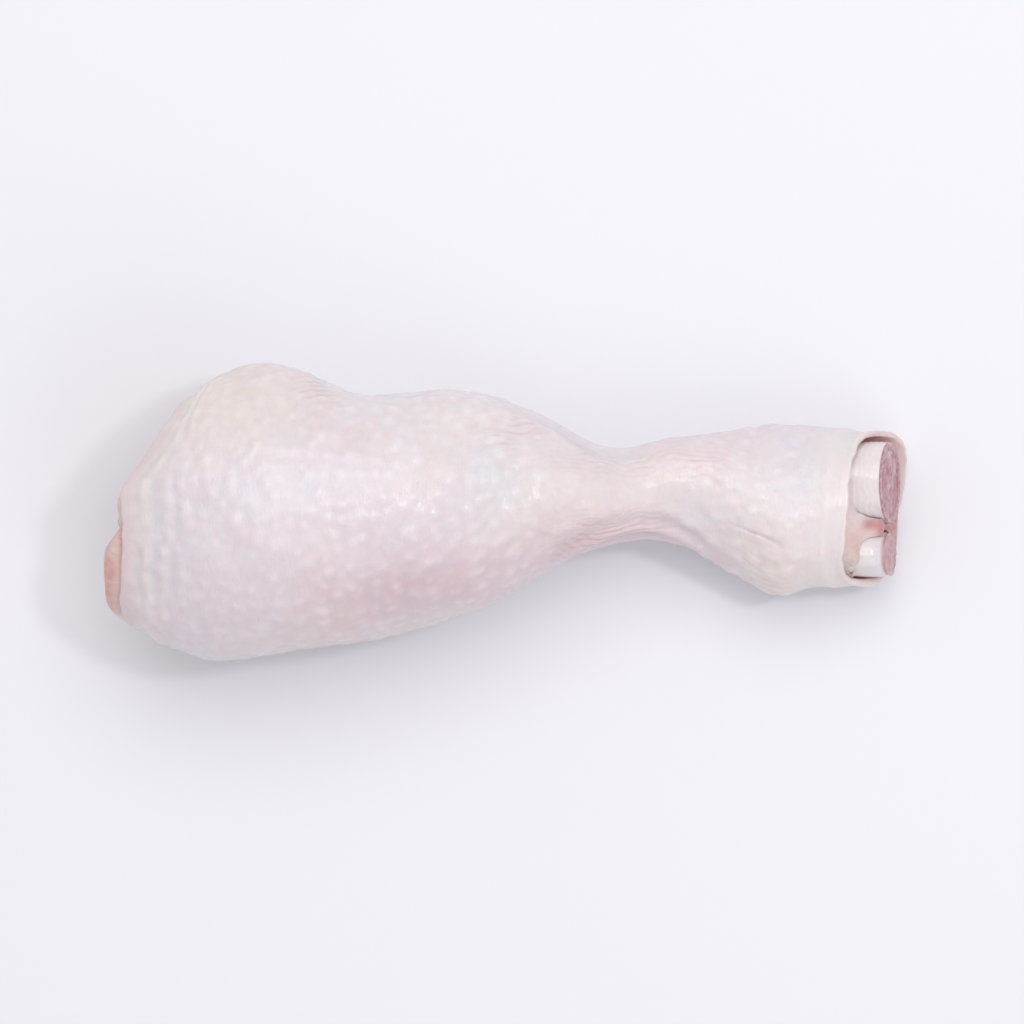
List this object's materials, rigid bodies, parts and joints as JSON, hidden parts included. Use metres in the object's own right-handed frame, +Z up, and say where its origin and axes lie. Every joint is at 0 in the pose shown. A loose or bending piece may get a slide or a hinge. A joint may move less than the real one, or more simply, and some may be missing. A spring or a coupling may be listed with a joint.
{
  "type": "raw chicken drumstick",
  "caption": "Raw chicken drumstick lying on its side: pale skin over a plump calf, narrow waist, cut hock end with bone and tendon, meat at the knee end.",
  "frame": {"origin": "middle of the underside of the bounding box, on the surface that the drumstick lies on", "axes": "+X from the knee end to the cut hock end, +Y across the drumstick, +Z up from the surface"},
  "size_m": [0.147, 0.0544, 0.0445],
  "materials": {
    "skin": "moist, soft, pale pink-white raw skin with fine bumps",
    "meat": "wet raw pink meat with pale fat streaks",
    "bone": "moist white cartilage and bone",
    "marrow": "wet, porous, red-pink bone core",
    "tendon": "moist white tendon and cartilage"
  },
  "bodies": {
    "root": {"skin": "skin", "meat": "meat", "bone": "bone", "marrow": "marrow", "tendon": "tendon"}
  },
  "joints": []
}
